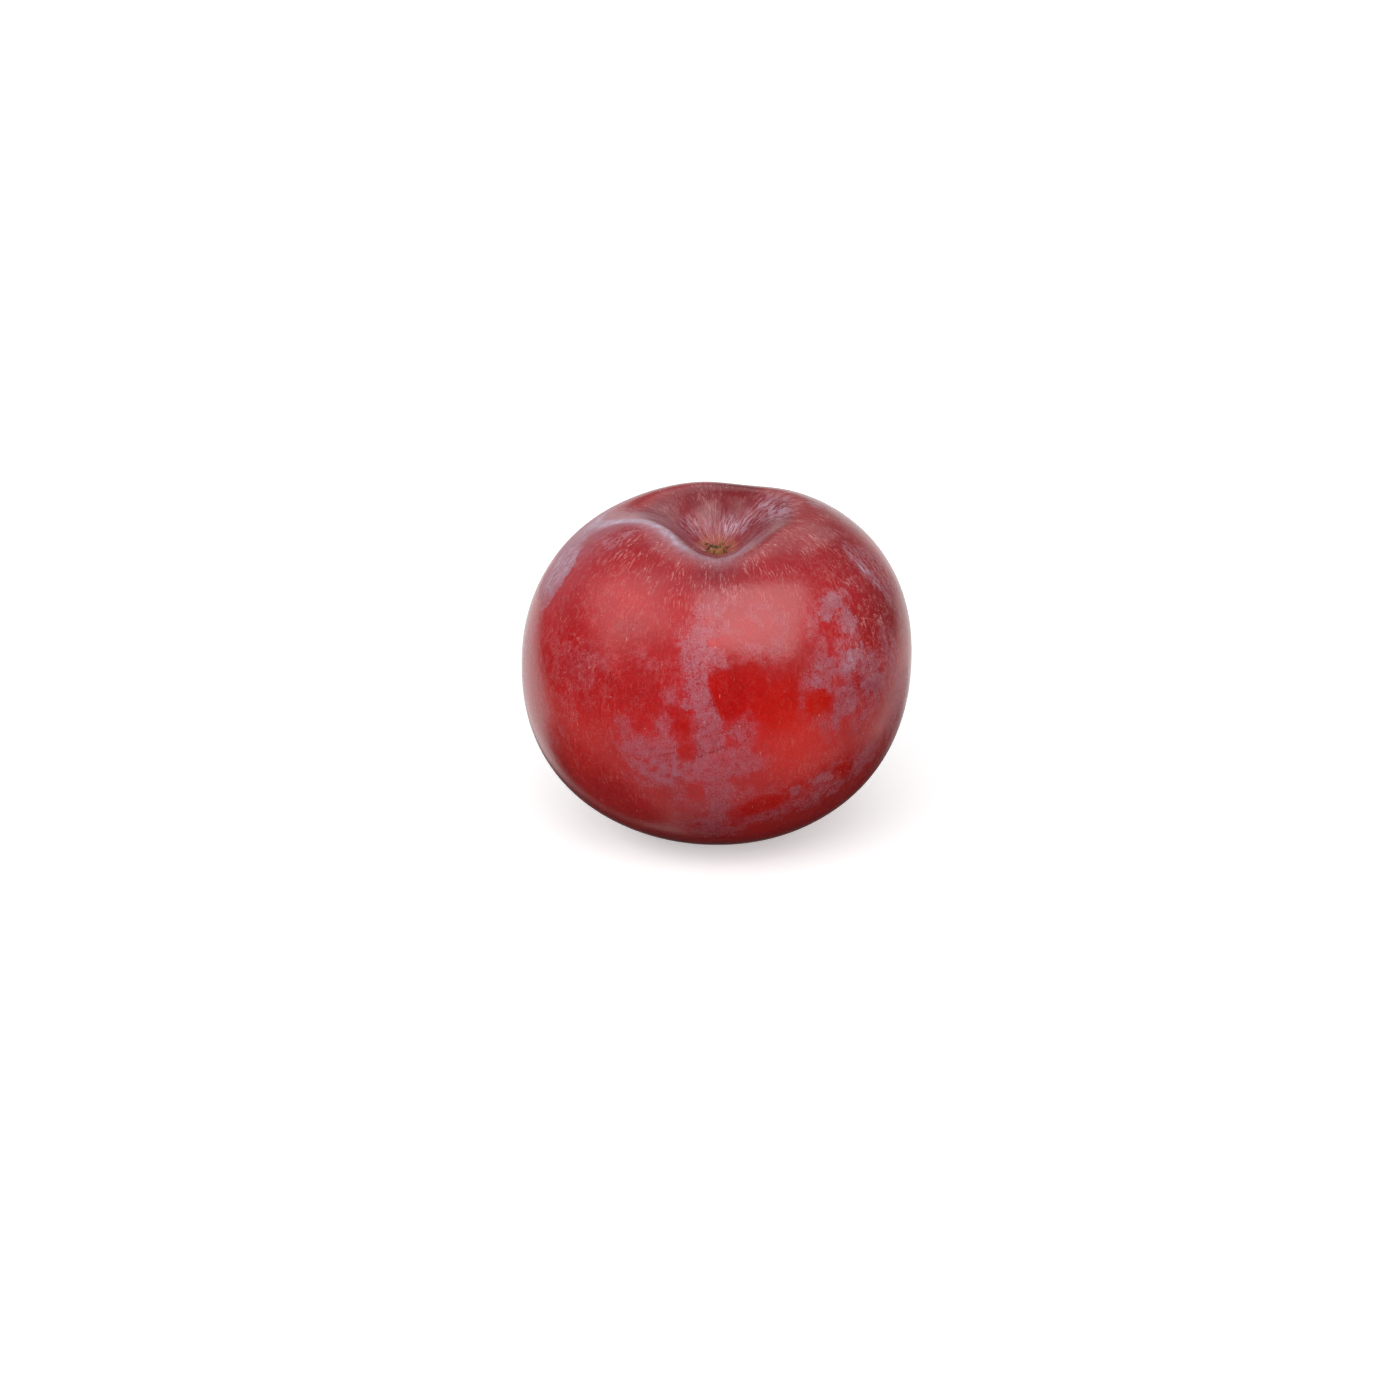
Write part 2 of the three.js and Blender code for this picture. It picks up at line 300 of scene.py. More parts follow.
# The bloom: where the wax still lies.
bloom = {
    # (bearing, height, half width, half height, lean, film). Lean turns a patch clockwise, and
    # film is how thick the wax lies on it, from 0 to 1.
    "patches": [
        # the strip down the suture
        (-3, 46.5, 1.4, 1.5, 0, 0.3), (-4, 44, 1.9, 1.4, 0, 0.55), (0, 44, 0.8, 0.8, 0, 0.4),
        (-6, 41.5, 2.2, 1.8, 0, 0.65), (0, 40.5, 1.3, 1, 0, 0.45), (-7, 39.5, 2.4, 1.4, 0, 0.65),
        (-5, 36.5, 2.1, 1.8, 0, 0.65), (-8, 33.5, 1.3, 0.9, 0, 0.65), (-3, 33.5, 1.9, 2.2, 0, 0.7),
        (-1, 30.5, 2, 2, 0, 0.65), (-3, 27, 1.9, 1.6, 0, 0.6), (1, 27.5, 1, 1.5, 0, 0.6),
        (6, 28.5, 1.5, 1.5, 0, 0.55), (9, 28, 0.8, 1.4, 0, 0.4), (6, 23.5, 3.1, 2.5, 0, 0.5),
        (-2, 22.5, 3, 2.5, 0, 0.6), (0, 19, 2.1, 2.5, 0, 0.55), (1, 14.5, 1.5, 4, 0, 0.5),
        (0, 9, 3.2, 2.2, 0, 0.4),
        # low on the left
        (-23, 25, 3.1, 1.9, 0, 0.55), (-16, 25.5, 2.7, 2.2, 0, 0.55), (-16, 29, 1.3, 1.1, 0, 0.5),
        (-28, 28.5, 0.8, 1, 0, 0.4),
        # low on the right
        (34, 18.5, 1.7, 0.9, -35, 0.6), (25, 16.5, 1.7, 1.3, -35, 0.6), (16, 12, 3.5, 0.9, -15, 0.4),
        (33, 14, 3.2, 0.9, -30, 0.35), (43, 15, 2.3, 0.9, -45, 0.35), (52, 19.5, 2, 2.4, 25, 0.55),
        (55, 20.5, 1.8, 1.2, 20, 0.45), (49, 18.5, 1.5, 1.2, 0, 0.45),
        # the right cheek
        (43, 46.5, 1.9, 1.3, 10, 0.85), (39, 45, 1.3, 1.3, 0, 0.8), (46, 43.5, 1.7, 1.5, 0, 0.8),
        (33, 42.5, 0.8, 1.3, 0, 0.35), (33, 40, 0.9, 1.5, 0, 0.4), (34, 37.5, 1.9, 1.3, 0, 0.7),
        (31, 36, 1.9, 1.3, 0, 0.7), (34, 34.5, 0.9, 0.7, 0, 0.55), (44, 38, 1.7, 1.3, 0, 0.95),
        (42, 36.5, 1.9, 1.1, 0, 0.95), (47, 37, 1.3, 0.9, 0, 0.6), (51, 35.5, 2.3, 1.5, 0, 0.7),
        (52, 33, 2.5, 1.3, 0, 0.75), (55, 31.5, 1.8, 0.7, 0, 0.65), (41, 32.5, 1.9, 1.2, 0, 0.7),
        (41, 30.5, 2.4, 1.6, 0, 0.75), (37, 28.5, 0.8, 1, 0, 0.6), (34, 27.5, 0.6, 1, 0, 0.3),
        (50, 28, 2.2, 0.7, -35, 0.55), (61, 37, 0.9, 2, 5, 0.5), (63, 33.5, 1.1, 1.7, 0, 0.4),
        (24, 33.5, 0.6, 0.8, 20, 0.6), (22, 33, 0.5, 0.4, 0, 0.5),
        # the left shoulder
        (-92, 50, 4.4, 4.6, 15, 0.9), (-76, 47, 5.2, 2.6, 66, 1), (-84, 46, 5, 3, 76, 0.9),
        (-74, 42.5, 1.6, 1.4, 30, 0.6),
    ],
    # thinner film with a soft edge, that the patches lie on
    "thin": [
        (-13, 34.5, 1.4, 1.7, 0, 0.35), (-16, 22.5, 6.2, 3.6, 0, 0.6), (-22, 20.5, 3.5, 2.4, 0, 0.4),
        (-24, 39.5, 3.8, 2.2, 0, 0.2), (-41, 37.5, 4, 4, 0, 0.2), (-11, 41.5, 1.6, 4.6, 0, 0.25),
        (30, 32, 4.5, 3.6, 0, 0.25), (53, 47, 2.2, 1.7, 0, 0.5), (9, 44, 7.5, 6, 0, 0.25),
        (18, 18.5, 1, 1.4, 0, 0.4),
        (10, 23.5, 3.5, 2.9, 0, 0.3), (6, 16.5, 3.9, 3.3, 0, 0.25), (-10, 15.5, 2.9, 3.8, 0, 0.25),
        (45, 32.5, 6.5, 6.5, 0, 0.2), (35, 34, 3.9, 6.5, 0, 0.15), (62, 34, 3, 6.4, 0, 0.2),
        (0, 10, 5.7, 2.8, 0, 0.35), (-10, 10, 2.3, 2, 0, 0.3), (-48, 33, 6, 6, 0, 0.15),
        (-60, 30, 8, 12, 0, 0.15), (70, 25, 6, 6, 0, 0.25),
    ],
    # rubbed bare. The last two values are how soft the edge is, 1 for crisp, and how square the
    # spot is, 2 for an ellipse.
    "bareSpots": [
        (-9, 25, 1.4, 1.7, 0, 1, 2), (-10.5, 29.5, 1.9, 1.6, 0, 1, 2),
        (0, 42.5, 0.6, 0.6, 0, 1, 2), (7, 35.5, 4.6, 4, -14, 1, 5),
        (18, 33, 4.6, 4.2, -10, 3, 3), (31, 32, 2.9, 2.3, 0, 1, 2),
        (16, 14.5, 4.5, 2.2, -20, 1, 2), (43, 18.5, 2.6, 1.9, -35, 1, 2),
    ],
    # thin dark lines in the wax: rings, and one crack as (bearing, height)
    "rings": [(-9, 25, 1.6, 2.5, 0), (-3, 27, 1.3, 1.4, 0), (6, 28.5, 1.8, 1.8, 0)],
    "crack": [(-5, 24.5), (0, 25.5), (3, 26.5), (7, 26.6), (9, 27.5)], "crackEnd": 1,
    # clumps of patches on the sides and back, by seed
    "seed": 11, "clusters": 23, "clusterBearings": (100, 262), "clusterHeights": (3, 48),
    "clusterFilms": (0.45, 0.9), "clusterPatches": 8, "clusterSpread": 5, "degreesPerMm": 2.2,
    "clumpHeights": (2, 53), "clumpHalfWidths": (0.9, 3.2), "clumpHalfHeights": (0.9, 2.8),
    "clumpLeans": (-50, 50),
    "merge": 0.3,  # patches closer than this run into one
    "bareSteepness": 3, "bareEdge": 0.6, "thinEdge": (-1.6, 1.4),
    "reachLimits": (-6, 4), "lineLimit": 3,  # mm, beyond which a field stays level
}
patchDepth = 12  # mm, how far above or below its own plane a patch still reaches
mostPower = 60  # keeps e^(reach/merge) within what a number can hold


def patchReach(patch, skin, power=2):
    # An ellipse, or with a higher power a rounded rectangle, on the plane that touches the skin
    # at the patch's middle. The result is how many mm a point lies inside its edge: (1 - q) times
    # the smaller half, q = 1 on the edge. The skin is its points, normals and what lies outside
    # the cavity.
    points, normals, outer = skin
    bearing, height, halfWidth, halfHeight, lean = patch[:5]
    turn = np.radians(bearing)
    across = np.array([np.cos(turn), np.sin(turn), 0])
    ahead = np.array([np.sin(turn), -np.cos(turn), 0])
    side = points @ across
    miss = side ** 2 + (points[..., 2] - height) ** 2
    miss = miss + np.where(points @ ahead > 0, 0, ruledOut) + np.where(outer, 0, ruledOut)
    middle = np.unravel_index(np.argmin(miss), side.shape)
    normal = normals[middle]
    upward = np.cross(normal, across)
    upward = upward if upward[2] > 0 else -upward
    offset = points - points[middle]
    a, b, deep = offset @ across, offset @ upward, offset @ normal
    tilt = np.radians(lean)
    wide = np.abs(a * np.cos(tilt) - b * np.sin(tilt)) / halfWidth
    high = np.abs(a * np.sin(tilt) + b * np.cos(tilt)) / halfHeight
    q = (wide ** power + high ** power + np.abs(deep / patchDepth) ** power) ** (1 / power)
    return (1 - q) * min(halfWidth, halfHeight)


def scatteredPatches(v):  # clumps of small ellipses round random middles, off the front
    rng = np.random.default_rng(v["seed"])
    found = []
    for _ in range(v["clusters"]):
        ranges = (v["clusterBearings"], v["clusterHeights"], v["clusterFilms"])
        bearing, height, film = [rng.uniform(*limits) for limits in ranges]
        for _ in range(v["clusterPatches"]):
            aside, up = rng.normal(0, v["clusterSpread"], 2)
            place = (bearing + v["degreesPerMm"] * aside, np.clip(height + up, *v["clumpHeights"]))
            ranges = (v["clumpHalfWidths"], v["clumpHalfHeights"], v["clumpLeans"])
            found.append((*place, *[rng.uniform(*limits) for limits in ranges], film))
    return found


def bloomFields(v, skin):
    # reach: a soft union of all the patches, k log(sum e^(reach/k)), less the bare spots, whose
    # edges are steeper, so that they stray less.
    # film: the patches' own films, averaged with the same weights. bare: 1 inside a bare spot.
    # thin: the strongest thin film there.
    film, bare, thin = np.zeros((3, *skin[0].shape[:2]))
    total = film + 1e-9  # above 0, for its logarithm
    for patch in v["patches"] + scatteredPatches(v):
        inside = patchReach(patch, skin)
        weight = np.exp(np.clip(inside / v["merge"], -mostPower, mostPower))
        total += weight
        film += weight * patch[5]
    reach = v["merge"] * np.log(total)
    for spot in v["bareSpots"]:
        softness, power = spot[5:]
        inside = patchReach(spot, skin, power) / softness
        reach = np.minimum(reach, -v["bareSteepness"] * inside)
        bare = np.maximum(bare, smoothStep(inside, -v["bareEdge"], v["bareEdge"]))
    for patch in v["thin"]:
        inside = patchReach(patch, skin)
        thin = np.maximum(thin, patch[5] * smoothStep(inside, *v["thinEdge"]))
    return np.clip(reach, *v["reachLimits"]), film / total, thin * (1 - bare), bare


def crackFields(v, skin, bearing):
    # ring: mm inside the nearest ring's line. crack: mm above the crack's line, whose height is
    # read off its points by bearing, and share: 1 between its two ends.
    most, end = v["lineLimit"], v["crackEnd"]
    ring = np.max([patchReach(loop, skin) for loop in v["rings"]], axis=0)
    places, heights = np.array(v["crack"]).T
    crack = np.clip(skin[0][..., 2] - np.interp(bearing, places, heights), -most, most)
    share = smoothStep(bearing, places[0] - end, places[0] + end)
    share = share * (1 - smoothStep(bearing, places[-1] - end, places[-1] + end))
    return np.maximum(ring, -most), crack, share


# The thin haze of wax between the patches. It is thickest in a pale band just outside the
# cavity's lip, down the cavity's wall, and where the fruit was brushed along.
haze = {
    # (bearing, distance from the axis, strength) along the band, and how wide its core and its
    # skirt are towards the axis and away from it
    "lipBand": [
        (-180, 16, 0.5), (-125, 18, 0.45), (-95, 19.5, 0.65), (-88, 18.2, 0.9), (-80, 15.9, 1),
        (-72, 13, 1), (-61, 11.8, 1), (-48, 11.3, 1), (-35, 12, 0.95), (-26, 13.1, 0.9),
        (-17, 14, 0.75), (-10, 15.4, 0.55), (0, 16.8, 0.45), (7, 16.2, 0.45), (13, 14.6, 0.55),
        (22, 12, 0.55), (44, 9, 0.35), (60, 9.5, 0.12), (90, 11, 0.05), (130, 13, 0.1),
        (180, 16, 0.5),
    ],
    "bandInner": 0.9, "bandOuter": 1.9, "skirtInner": 1.5, "skirtOuter": 3.6, "skirtShare": 0.3,
    "bandHeights": (40, 46),
    # films on the cavity's wall: (bearing, distance from the axis, half bearing, half distance,
    # strength), above one height
    "wall": [
        (150, 4.5, 30, 1.6, 1), (118, 5.6, 16, 2.2, 0.9), (115, 8.4, 15, 2.2, 0.7),
        (-125, 5.3, 30, 1.7, 0.8), (-165, 4.7, 26, 1.4, 0.55), (-90, 4.5, 20, 1.2, 0.5),
        (60, 5.5, 25, 1.6, 0.5), (0, 6.5, 40, 2, 0.4), (-45, 6.5, 25, 2, 0.4),
        (95, 9.5, 32, 4.5, 0.75), (-115, 9.5, 28, 2.5, 0.35),
    ],
    "wallAbove": 40, "cavityEdge": (0, 2.5),
    "corkEdge": (2.2, 4.5),  # where the corky ring round the stalk's scar ends
    # brushed places, as the patches above
    "brushed": [
        (-80, 47.5, 6, 4, 70, 0.8), (45, 39, 3.4, 4, 0, 0.45), (67, 51, 2.2, 1.1, 121, 0.7),
        (67, 48.5, 2, 1.3, 76, 0.9), (69, 46, 1.9, 1.1, 71, 0.75), (72, 43, 2.6, 0.9, 58, 0.6),
        (77, 47, 6.5, 3.2, 62, 0.5), (91, 55, 4.2, 1, 137, 0.4), (100, 55, 1.8, 0.8, -103, 0.8),
        (60, 54, 5, 3, 120, 0.15), (-61, 53.5, 3.9, 1.8, -54, 0.5),
        (-60, 52, 3.9, 0.9, -51, 0.4), (-50, 52.5, 2.9, 0.7, -48, 0.3),
        (-30, 52, 4, 1, -30, 0.2), (64, 33, 2.4, 7, 0, 0.4), (70, 26, 4, 7, 20, 0.4),
        (52, 42, 5, 5, 0, 0.12), (-76, 34, 3, 9, 10, 0.3), (-52, 36, 3, 5, 10, 0.15),
        (-140, 52, 9, 5, 0, 0.4),
    ],
    "brushedEdge": (-1.2, 1),
    # the general haze, and where each part of it sets in and ends
    "everywhere": 0.06, "anyHeights": (3, 14), "shoulders": 0.07, "shoulderHeights": (36, 50),
    "leftShoulder": 0.28, "leftFrom": (48, 80), "leftTo": (95, 120), "leftHeights": (34, 50),
    # haze on the crown's back: partly real haze, and partly a painted highlight along the crown's top
    # edge
    "crownBackHazeAndSheen": 0.3, "backFrom": (8, 18), "backHeights": (42, 52),
}


def hazeFields(v, skin, bearing, fromCrest):
    # lip: a narrow and a wide bell across the band, each steeper towards the axis, and the
    # general haze. wall: bells round each place. streaks: those and the brushed places. cork: 1
    # near the axis.
    places, distances, strengths = np.array(v["lipBand"]).T
    x, y, z = np.moveaxis(skin[0], -1, 0)
    out = np.hypot(x, y)
    off = out - np.interp(bearing, places, distances)
    core = bell(off, np.where(off > 0, v["bandOuter"], v["bandInner"]))
    skirt = bell(off, np.where(off > 0, v["skirtOuter"], v["skirtInner"]))
    lip = core * (1 - v["skirtShare"]) + skirt * v["skirtShare"]
    lip = lip * np.interp(bearing, places, strengths) * smoothStep(z, *v["bandHeights"])
    streaks = np.zeros(out.shape)
    for place, distance, halfBearing, halfDistance, strength in v["wall"]:
        aside = (bearing - place + 180) % 360 - 180
        film = strength * bell(aside, halfBearing) * bell(out - distance, halfDistance)
        streaks = np.maximum(streaks, film * (z > v["wallAbove"]))
    for patch in v["brushed"]:
        inside = patchReach(patch, skin)
        streaks = np.maximum(streaks, patch[5] * smoothStep(inside, *v["brushedEdge"]))
    inCavity = smoothStep(-fromCrest, *v["cavityEdge"])
    cork = inCavity * (1 - smoothStep(out, *v["corkEdge"]))
    left = smoothStep(-bearing, *v["leftFrom"]) * (1 - smoothStep(-bearing, *v["leftTo"]))
    general = v["leftShoulder"] * left * smoothStep(z, *v["leftHeights"]) + v["everywhere"]
    # the crown's back: haze that is partly a painted highlight along its top edge
    back = smoothStep(y, *v["backFrom"]) * smoothStep(z, *v["backHeights"])
    general = general + v["crownBackHazeAndSheen"] * back
    lip = lip + general * smoothStep(z, *v["anyHeights"])
    lip = lip + v["shoulders"] * smoothStep(z, *v["shoulderHeights"])
    return np.clip(lip, 0, 1), streaks, inCavity, cork


# Painted shade, a skin darker towards the crown's top, a painted sheen, how handled the skin is, and
# how much dust lies on it. The painted shade darkens the cavity, its far wall, the dip in the far side
# of the crown and a place below the lip's notch. The painted sheen is broad soft highlights low on the
# right and left cheeks. A spot is (bearing, height, half bearing, half height, strength): the strength
# times a bell of each.
tints = {
    # darker spots; the second is a painted shadow below the lip's notch
    "dusk": [(68, 42, 12, 7, 0.6), (0, 51.5, 13, 2.5, 0.5)],
    "duskCrown": 0.4, "duskHeights": (46, 54), "duskCavity": 0.45,
    # the dip in the far side of the crown, and the cavity's far wall, both darkened as painted shade
    "valleyBearing": 158, "valleyHalf": 16, "valleyHeights": (51.5, 54), "duskValley": 0.9,
    "backBearing": 184, "backHalf": 20, "backDistance": 8.5, "backHalfDistance": 3,
    "backAbove": 40, "duskBack": 0.6,
    # painted sheen: broad soft highlights low on the right cheek and on the left
    "blush": [(26, 25, 12, 10, 0.9), (-45, 24, 18, 7, 0.5)],
    "scuffed": [(-50, 37, 20, 11, 0.25), (58, 42, 18, 12, 0.7), (38, 17, 17, 5, 0.45)],
    "scuffedAnywhere": 0.07,
    "crownEnd": (20, 32), "combedShare": 0.6, "combedHeights": (39, 47), "seamFront": (8, 14),
    "dustAnywhere": 0.2, "dustCrown": 0.65, "dustHeights": (2, 16), "dustRubbed": 0.85,
    # haze, dust and streaks are kept off the crown's dip and the cavity's far wall, so that their
    # painted shade stays dark
    "valleyClearInShade": 0.7, "backClearInShade": 0.8,  # the share of haze and dust, or of streaks, gone there
}


def spotField(spots, bearing, height):  # the sum of the spots
    field = 0
    for place, level, halfBearing, halfHeight, strength in spots:
        field = field + strength * bell(bearing - place, halfBearing) * bell(height - level, halfHeight)
    return field


skin = (plumSurface, plumFacing, fromCrest > 1)  # and whether a point lies outside the cavity
degreesRound = np.degrees(bearingRound)
high = plumSurface[..., 2]
fromAxis = np.hypot(plumSurface[..., 0], plumSurface[..., 1])
reach, film, thin, bare = bloomFields(bloom, skin)
ring, crack, crackShare = crackFields(bloom, skin, degreesRound)
lipHaze, streaks, inCavity, cork = hazeFields(haze, skin, degreesRound, fromCrest)
valley = bell(degreesRound - tints["valleyBearing"], tints["valleyHalf"])
valley = valley * smoothStep(high, *tints["valleyHeights"])
backWall = bell(degreesRound % 360 - tints["backBearing"], tints["backHalf"])
backWall = backWall * bell(fromAxis - tints["backDistance"], tints["backHalfDistance"])
backWall = backWall * (high > tints["backAbove"])
# painted shade in the cavity, on its far wall, in the crown's dip and below the lip's notch, and a skin
# darker towards the crown's top
dusk = tints["duskCrown"] * smoothStep(high, *tints["duskHeights"])
dusk = dusk + tints["duskCavity"] * inCavity + tints["duskValley"] * valley
dusk = dusk + tints["duskBack"] * backWall + spotField(tints["dusk"], degreesRound, high)
scuffed = tints["scuffedAnywhere"] + spotField(tints["scuffed"], degreesRound, high)
crown = 1 - smoothStep(fromStem, *tints["crownEnd"])
clearInShade = 1 - tints["valleyClearInShade"] * valley
dust = (tints["dustAnywhere"] + tints["dustCrown"] * crown) * (1 - tints["dustRubbed"] * bare)
combed = np.maximum(inCavity, tints["combedShare"] * smoothStep(high, *tints["combedHeights"]))
skinFields = {
    "bloomReach": reach, "bloomFilm": film, "bloomThin": thin,
    "bloomHaze": lipHaze * (1 - bare) * clearInShade,
    "streaks": streaks * (1 - tints["backClearInShade"] * np.maximum(valley, backWall)),
    "cork": cork, "dusk": np.clip(dusk, 0, 1),
    "blush": np.clip(spotField(tints["blush"], degreesRound, high), 0, 1),
    "scuffed": np.clip(scuffed, 0, 1), "ring": ring, "crack": crack, "crackShare": crackShare,
    "crown": crown, "combed": combed,
    "dust": dust * smoothStep(high, *tints["dustHeights"]) * clearInShade,
    "seam": smoothStep(-plumSurface[..., 1], *tints["seamFront"]),
}
for name, field in skinFields.items():
    addAttribute(skinPiece, name, field)
# places that run round the fruit at one radius, in mm, and down it by its length, for grain
grainRadii = {"grainWay": 31, "hatchWay": 20, "crownWay": 12}
for name, radius in grainRadii.items():
    way = [radius * np.sin(bearingRound), radius * np.cos(bearingRound), fromStem]
    addAttribute(skinPiece, name, np.stack(way, axis=-1))
print("bloom fields done")


# The skin's finish. Plum skin is a thin glossy cuticle over red flesh. Its own wax, the bloom,
# lies on it as a mauve-white matt film that rubs off in patches and leaves the gloss bare.
waxySkin = {
    # the bright red laid low on the cheeks is a painted highlight, and the dusky dark red is painted
    # shade
    "deepRed": "a80d0c", "brightRed": "c01512", "duskRed": "741317", "blushRed": "d82414",
    "thinBloom": "a35f70", "thickBloom": "cdbbcf", "paleMark": "df9f9c", "darkLine": "5c0a10",
    "corkRed": "98392b", "corkPale": "c98a5c", "roughness": (0.15, 0.6), "ior": 1.45,
    "ripeMottle": 0.4, "ripeness": (0.5, 0.9), "bloomBump": 0.02, "skinBump": 0.03,
    # ways that run down the fruit, squeezed so that what is drawn on them is long
    "squeezed": {"strokeWay": ("grainWay", 0.45), "crownStrokeWay": ("crownWay", 0.45),
                 "hatchStrokeWay": ("hatchWay", 0.17), "fleckWay": ("grainWay", 0.25)},
    # noise: (way, scale, detail, roughness, distortion)
    "noise": {
        "drift": ("inMm", 0.11, 3, 0.5, 0), "mottle": ("inMm", 1.6, 4, 0.6, 0),
        "fine": ("inMm", 4.5, 2, 0.6, 0), "slow": ("inMm", 0.33, 2, 0.5, 0),
        "grit": ("inMm", 2.4, 4, 0.65, 0), "where": ("inMm", 0.24, 1, 0.5, 0),
        "cloud": ("inMm", 0.8, 6, 0.7, 0), "curl": ("inMm", 0.7, 2, 0.5, 0.8),
        "cheekStroke": ("strokeWay", 1.5, 6, 0.75, 0.5),
        "crownStroke": ("crownStrokeWay", 1.3, 6, 0.75, 0.5),
        "hatch": ("hatchStrokeWay", 4.4, 2, 0.6, 1.1),
        "cheekBend": ("fleckWay", 0.5, 2.5, 0.5, 1.2), "wideBend": ("inMm", 0.5, 2.5, 0.5, 1.2),
        "tightBend": ("inMm", 1.1, 2.5, 0.5, 1.2),
    },
    # cells: (scale, what is read off them)
    "cells": {"lobes": (0.52, "SMOOTH_F1"), "pores": (1.9, "F1"),
              "cellEdge": (0.34, "DISTANCE_TO_EDGE")},
    "lobeSmoothness": 0.25,
    # shares: (pattern, its values at the share's two ends, the share at each of them)
    "shares": {
        "pitted": ("fine", 0.52, 0.36, 0, 0.3), "stroked": ("stroke", 0.38, 0.62, 0.65, 1),
        "corkThreads": ("stroke", 0.53, 0.62, 0, 1), "blur": ("where", 0.45, 0.62, 0.16, 1.1),
        "dense": ("cloud", 0.38, 0.62, 0.65, 1.2), "speckled": ("fine", 0.38, 0.58, 0.5, 1.15),
        "pored": ("pores", 0.12, 0.26, 0.45, 1), "curled": ("slow", 0.4, 0.54, 0, 0.4),
        "celled": ("slow", 0.56, 0.46, 0, 0.5), "streaked": ("stroke", 0.42, 0.58, 0.12, 1),
        "dashed": ("cloud", 0.42, 0.56, 0, 1), "dusty": ("hatch", 0.53, 0.7, 0, 0.6),
        "clumped": ("slow", 0.4, 0.6, 0.3, 1.5),
    },
    # mm that a patch's edge strays: waves of 3 mm, lobes of 2 mm, grit of 0.4 mm and 0.2 mm, and
    # their sum at the edge's middle
    "edge": {"slow": 1.2, "lobes": -0.9, "grit": 1.3, "fine": 0.9}, "edgeMiddle": 1.055,
    # the halo, by mm inside a patch's edge, and its blotches, as the shares above
    "halo": (-1.5, 0, 0, 0.3), "blotchSlow": 0.8, "mottled": (0.74, 1.02, 0.15, 1.3),
    # thin dark lines: (what grit bends them by, near, far, strength)
    "curlLine": (0, 0.004, 0.015, 1), "cellLine": (0.3, 0.005, 0.03, 1),
    "ringLine": (2.2, 0.04, 0.16, 1), "ringShare": 0.55, "crackLine": (1.6, 0.05, 0.18, 1),
    "lineShare": 0.6, "seamLine": (0.8, 0.04, 0.16, 0.35),
    # threads along one level of the strokes: (near, far, strength)
    "threadLevel": 0.49, "threadLine": (0.006, 0.02, 0.75),
    # pale marks in cells: (way, scale, near, far, rarity), flecks and then two sizes of lenticels
    "marks": [("fleckWay", 1.7, 0.07, 0.18, 0.82), ("inMm", 0.55, 0.05, 0.11, 0.68),
              ("inMm", 1.3, 0.05, 0.13, 0.88)],
    "markShare": 0.6, "crownMarks": 0.1,
    # curved scuffs along a level of a noise: (noise, level, pattern that shows where they are)
    "scuffs": [("cheekBend", 0.52, "slow"), ("wideBend", 0.5, "cloud"), ("tightBend", 0.47, "cloud")],
    "scuffNear": 0.008, "scuffFar": 0.028, "scuffOnset": 0.06, "scuffShare": 0.75,
    "frayedStroke": 1.6, "frayed": (1.15, 1.45),
}


def skinPatterns(v, add):
    # Every pattern that the skin is drawn with, by name: the fields and ways, noise and cells,
    # the strokes, and the shares worked out from them.
    place = add("TexCoord").outputs["Object"]
    own = {"inMm": add("VectorMath", {0: place, 3: 1 / mm}, "SCALE")}
    for output, names in (("Fac", skinFields), ("Vector", grainRadii)):
        for name in names:
            own[name] = add("Attribute", attribute_name=name).outputs[output]
    for name, (way, squeeze) in v["squeezed"].items():
        own[name] = add("VectorMath", [own[way], (1, 1, squeeze)], "MULTIPLY")
    for name, (way, *values) in v["noise"].items():
        sockets = dict(zip(("Scale", "Detail", "Roughness", "Distortion"), values))
        own[name] = add("TexNoise", {"Vector": own[way], **sockets})
    for name, (scale, feature) in v["cells"].items():
        own[name] = add("TexVoronoi", {"Vector": own["inMm"], "Scale": scale}, feature=feature)
    own["lobes"].inputs["Smoothness"].default_value = v["lobeSmoothness"]
    own["stroke"] = add("Mix", [own["crown"]], A=own["cheekStroke"], B=own["crownStroke"])
    for name, (pattern, *limits) in v["shares"].items():
        own[name] = add("MapRange", [own[pattern], *limits])
    own["bent"] = add("Math", [own["grit"], 0.5], "SUBTRACT")
    return own


def fineLine(add, field, shift, times, near, far, most):
    # A line where the field plus the shift times a number is 0. It has its full strength up to
    # near, and is gone at far.
    off = add("Math", [shift, times, field], "MULTIPLY_ADD")
    return add("MapRange", [add("Math", [off], "ABSOLUTE"), near, far, most, 0])


def strongest(add, layers):
    # The largest of some layers, each a value and the shares that it is multiplied by.
    top = None
    for layer, *shares in layers:
        for share in shares:
            layer = add("Math", [layer, share], "MULTIPLY")
        top = add("Math", [top, layer], "MAXIMUM") if top else layer
    return top


def waxLines(v, add, own):
    # Thin dark lines in the wax: curved scratches where something brushed it, more where it is
    # scuffed, edges of dried cells, the rings and the crack.
    curl = add("Math", [own["curl"], 0.5], "SUBTRACT")
    curled = add("Math", [own["scuffed"], own["curled"], own["curled"]], "MULTIPLY_ADD")
    return strongest(add, [(fineLine(add, field, own["bent"], *v[line]), share)
                           for field, line, share in (
                               (curl, "curlLine", curled),
                               (own["cellEdge"], "cellLine", own["celled"]),
                               (own["ring"], "ringLine", v["ringShare"]),
                               (own["crack"], "crackLine", own["crackShare"]))])


